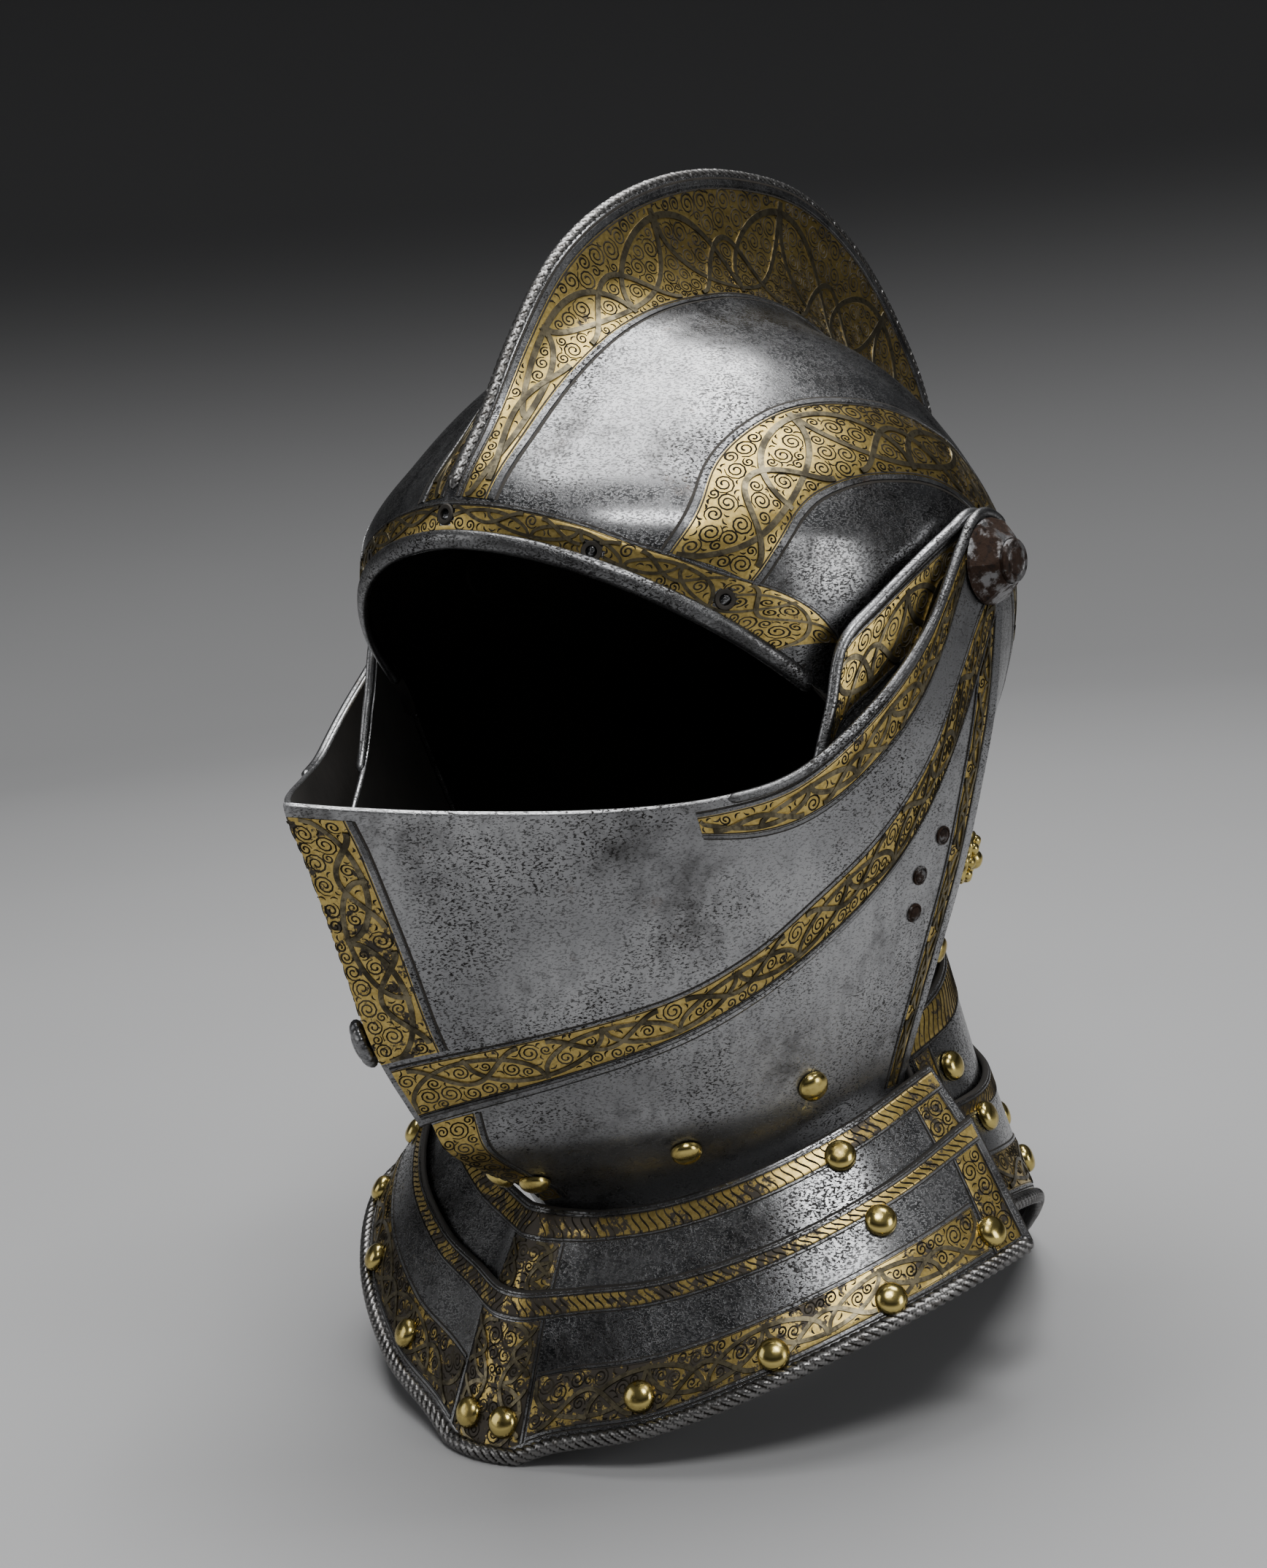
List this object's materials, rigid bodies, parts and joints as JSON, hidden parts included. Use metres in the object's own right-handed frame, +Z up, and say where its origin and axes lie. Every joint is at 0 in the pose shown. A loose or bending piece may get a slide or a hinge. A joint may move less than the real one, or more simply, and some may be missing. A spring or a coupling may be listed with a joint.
{
  "type": "close helmet",
  "caption": "Steel close helmet with a tall comb, open face, hinged pointed ventail and bevor, flared gorget lames and etched gilt bands.",
  "frame": {"origin": "on the resting surface under the centre of the helmet's box", "axes": "+Z up, the wearer faces -Y, the wearer's left is +X"},
  "size_m": [0.2148, 0.2876, 0.3278],
  "materials": {
    "steel": "polished plate steel, pitted and worn, with etched gilt bands",
    "iron": "dark rusted iron",
    "brass": "bright domed brass"
  },
  "bodies": {
    "skull": {"skull": "steel", "rear_gorget_upper": "steel", "rear_gorget_lower": "steel", "pivot_left": "iron", "pivot_right": "iron", "side_escutcheon": "brass", "nape_rivet_left": "brass", "nape_rivet_right": "brass", "rear_lower_rivet_1_left": "brass", "rear_lower_rivet_1_right": "brass", "rear_lower_rivet_2_left": "brass", "rear_lower_rivet_2_right": "brass", "rear_lower_rivet_3_left": "brass", "rear_lower_rivet_3_right": "brass", "rear_upper_rivet_left": "brass", "rear_upper_rivet_right": "brass"},
    "bevor": {"bevor": "steel", "cheek_rivet_1_left": "iron", "cheek_rivet_1_right": "iron", "cheek_rivet_2_left": "iron", "cheek_rivet_2_right": "iron", "cheek_rivet_3_left": "iron", "cheek_rivet_3_right": "iron", "chin_rivet_1_left": "brass", "chin_rivet_1_right": "brass", "chin_rivet_2_left": "brass", "chin_rivet_2_right": "brass", "chin_rivet_3_left": "brass", "chin_rivet_3_right": "brass", "front_gorget_lower": "steel", "front_gorget_upper": "steel", "lower_lame_rivet_left": "brass", "lower_lame_rivet_right": "brass", "rim_rivet_1_left": "brass", "rim_rivet_1_right": "brass", "rim_rivet_2_left": "brass", "rim_rivet_2_right": "brass", "rim_rivet_3_left": "brass", "rim_rivet_3_right": "brass", "rim_rivet_4_left": "brass", "rim_rivet_4_right": "brass", "rim_rivet_5_left": "brass", "rim_rivet_5_right": "brass", "upper_lame_rivet_left": "brass", "upper_lame_rivet_right": "brass"},
    "ventail": {"ventail": "steel", "lifting_knob": "iron"}
  },
  "joints": [
    {"name": "bevor_hinge", "type": "hinge", "parent": "skull", "child": "bevor", "pos_m": [0, 0.0163, 0.219], "axis": [-1, 0, 0], "range_deg": [0, 50]},
    {"name": "ventail_hinge", "type": "hinge", "parent": "bevor", "child": "ventail", "pos_m": [0, 0.0163, 0.219], "axis": [-1, 0, 0], "range_deg": [0, 45]}
  ]
}
